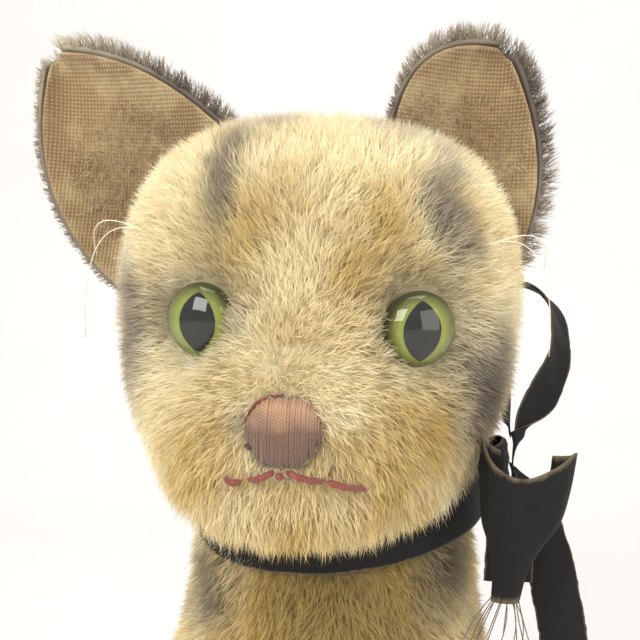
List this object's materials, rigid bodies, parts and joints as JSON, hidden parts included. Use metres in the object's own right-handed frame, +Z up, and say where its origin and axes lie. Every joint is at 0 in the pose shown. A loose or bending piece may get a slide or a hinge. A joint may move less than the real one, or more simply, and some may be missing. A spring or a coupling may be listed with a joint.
{
  "type": "plush cat",
  "caption": "Seated plush cat in golden mohair with grey stripes, green glass eyes, stitched nose, swivel head and a black neck ribbon tied in a bow.",
  "frame": {"origin": "on the ground plane under the front half of the seat panel, between the hind legs", "axes": "+Z up; the cat faces -Y; +X is the cat's own left"},
  "size_m": [0.1409, 0.1429, 0.2171],
  "materials": {
    "mohair_pile": "long mohair pile, straw gold with grey-brown stripes and patches, worn",
    "ear_cloth": "short worn tan cloth with a visible weave",
    "backing_cloth": "plain woven cotton",
    "wood_wool": "packed wood wool, hidden inside the skins",
    "card_disc": "pressed card, hidden in the neck",
    "steel": "plain steel washers, pin and wire",
    "eye_glass": "clear blown dome",
    "iris_enamel": "lime green behind the glass, darker at the rim",
    "pupil_enamel": "black upright almond",
    "nose_silk": "satin-stitched thread, pink, worn brown",
    "mouth_yarn": "single red-brown yarn stitches",
    "claw_thread": "dark thread stitches",
    "whisker_filament": "thin pale filaments",
    "ribbon_black": "black ribbed ribbon with faded beige edges",
    "frayed_thread": "loose brown threads at the cut end of the ribbon"
  },
  "bodies": {
    "torso": {"body_side_left": "mohair_pile", "body_side_right": "mohair_pile", "belly_gusset": "mohair_pile", "seat_panel": "mohair_pile", "body_filling": "wood_wool", "front_leg_left": "mohair_pile", "front_leg_right": "mohair_pile", "front_leg_left_filling": "wood_wool", "front_leg_right_filling": "wood_wool", "hind_leg_left": "mohair_pile", "hind_leg_right": "mohair_pile", "hind_leg_left_filling": "wood_wool", "hind_leg_right_filling": "wood_wool", "front_claws_left": "claw_thread", "front_claws_right": "claw_thread", "hind_claws_left": "claw_thread", "hind_claws_right": "claw_thread", "tail": "mohair_pile", "tail_filling": "wood_wool", "body_disc": "card_disc", "body_washer": "steel", "body_gather": "backing_cloth", "neck_pin": "steel"},
    "head": {"head_side_left": "mohair_pile", "head_side_right": "mohair_pile", "head_gusset": "mohair_pile", "chin_gusset": "mohair_pile", "head_filling": "wood_wool", "head_disc": "card_disc", "head_washer": "steel", "head_gather": "backing_cloth", "ear_left_back": "mohair_pile", "ear_left_lining": "ear_cloth", "ear_right_back": "mohair_pile", "ear_right_lining": "ear_cloth", "eye_left_glass": "eye_glass", "eye_left_iris": "iris_enamel", "eye_left_pupil": "pupil_enamel", "eye_left_wire": "steel", "eye_right_glass": "eye_glass", "eye_right_iris": "iris_enamel", "eye_right_pupil": "pupil_enamel", "eye_right_wire": "steel", "nose_stitching": "nose_silk", "mouth_stitching": "mouth_yarn", "whiskers_left": "whisker_filament", "whiskers_right": "whisker_filament", "ribbon_band": "ribbon_black", "ribbon_knot": "ribbon_black", "ribbon_front_loop": "ribbon_black", "ribbon_rear_loop": "ribbon_black", "ribbon_long_tail": "ribbon_black", "ribbon_short_tail": "ribbon_black", "ribbon_fray": "frayed_thread"}
  },
  "joints": [
    {"name": "head_swivel", "type": "hinge", "parent": "torso", "child": "head", "pos_m": [0, -0.012, 0.126], "axis": [0, -0.1392, 0.9903], "continuous": true}
  ]
}
